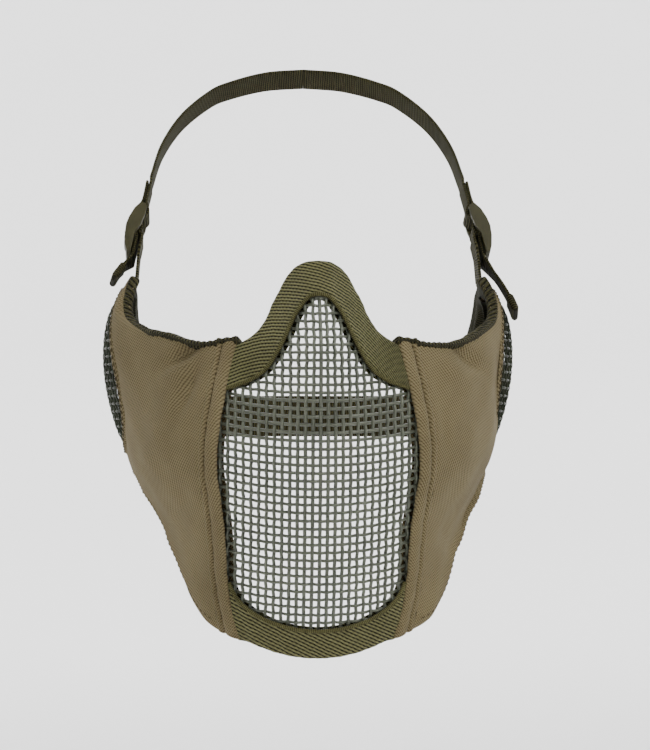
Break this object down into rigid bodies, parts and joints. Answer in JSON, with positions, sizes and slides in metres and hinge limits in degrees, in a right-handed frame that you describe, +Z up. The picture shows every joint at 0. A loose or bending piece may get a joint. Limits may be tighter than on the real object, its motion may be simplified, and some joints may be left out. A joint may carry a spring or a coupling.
{
  "type": "half-face mask",
  "caption": "Lower half-face mask with a formed steel mesh front, padded fabric wings, mesh ear covers, two straps and a ladder lock at each temple.",
  "frame": {"origin": "centre of the wearer's head, midway between the ear covers at ear height", "axes": "+Z up, -Y the way the mask faces, +X the wearer's left"},
  "size_m": [0.1911, 0.2168, 0.2674],
  "materials": {
    "steel_mesh": "grey-green paint on woven steel wire, satin",
    "webbing": "olive drab ribbed webbing",
    "tan_cloth": "coyote tan twill",
    "foam": "dark laminated padding",
    "lining": "dark olive knitted lining",
    "binding": "dark olive knitted binding",
    "plastic": "olive drab moulded plastic, fine grain"
  },
  "bodies": {
    "front": {"front_mesh": "steel_mesh", "nose_tape": "webbing", "chin_tape": "webbing", "left_hem": "tan_cloth", "right_hem": "tan_cloth", "head_strap": "webbing", "neck_strap": "webbing"},
    "left_wing": {"left_shell": "tan_cloth", "left_foam": "foam", "left_lining": "lining", "left_binding": "binding", "left_ear_mesh": "steel_mesh", "left_ear_rim": "tan_cloth", "left_temple_web": "webbing"},
    "left_lock": {"left_lock": "plastic"},
    "left_tail": {"left_tail": "webbing"},
    "right_wing": {"right_shell": "tan_cloth", "right_foam": "foam", "right_lining": "lining", "right_binding": "binding", "right_ear_mesh": "steel_mesh", "right_ear_rim": "tan_cloth", "right_temple_web": "webbing"},
    "right_lock": {"right_lock": "plastic"},
    "right_tail": {"right_tail": "webbing"}
  },
  "joints": [
    {"name": "left_wing_fold", "type": "hinge", "parent": "front", "child": "left_wing", "pos_m": [0.0475, -0.083, -0.05], "axis": [0, -0.0995, 0.995], "range_deg": [-8, 11], "stiffness_Nm_per_rad": 0.4, "deforming": ["head_strap", "neck_strap"]},
    {"name": "left_lock_tilt", "type": "hinge", "parent": "left_wing", "child": "left_lock", "pos_m": [0.076, 0.0064, 0.0695], "axis": [0, -0.9299, 0.3679], "range_deg": [0, 24], "stiffness_Nm_per_rad": 0.02, "deforming": ["left_temple_web"]},
    {"name": "left_tail_swing", "type": "hinge", "parent": "left_lock", "child": "left_tail", "pos_m": [0.08042, -0.00183, 0.0487], "axis": [0, -0.9299, 0.3679], "range_deg": [0, 34], "stiffness_Nm_per_rad": 0.003},
    {"name": "right_wing_fold", "type": "hinge", "parent": "front", "child": "right_wing", "pos_m": [-0.0475, -0.083, -0.05], "axis": [0, 0.0995, -0.995], "range_deg": [-8, 11], "stiffness_Nm_per_rad": 0.4, "deforming": ["head_strap", "neck_strap"]},
    {"name": "right_lock_tilt", "type": "hinge", "parent": "right_wing", "child": "right_lock", "pos_m": [-0.076, 0.0064, 0.0695], "axis": [0, 0.9299, -0.3679], "range_deg": [0, 24], "stiffness_Nm_per_rad": 0.02, "deforming": ["right_temple_web"]},
    {"name": "right_tail_swing", "type": "hinge", "parent": "right_lock", "child": "right_tail", "pos_m": [-0.08042, -0.00183, 0.0487], "axis": [0, 0.9299, -0.3679], "range_deg": [-6, 22], "stiffness_Nm_per_rad": 0.003}
  ]
}
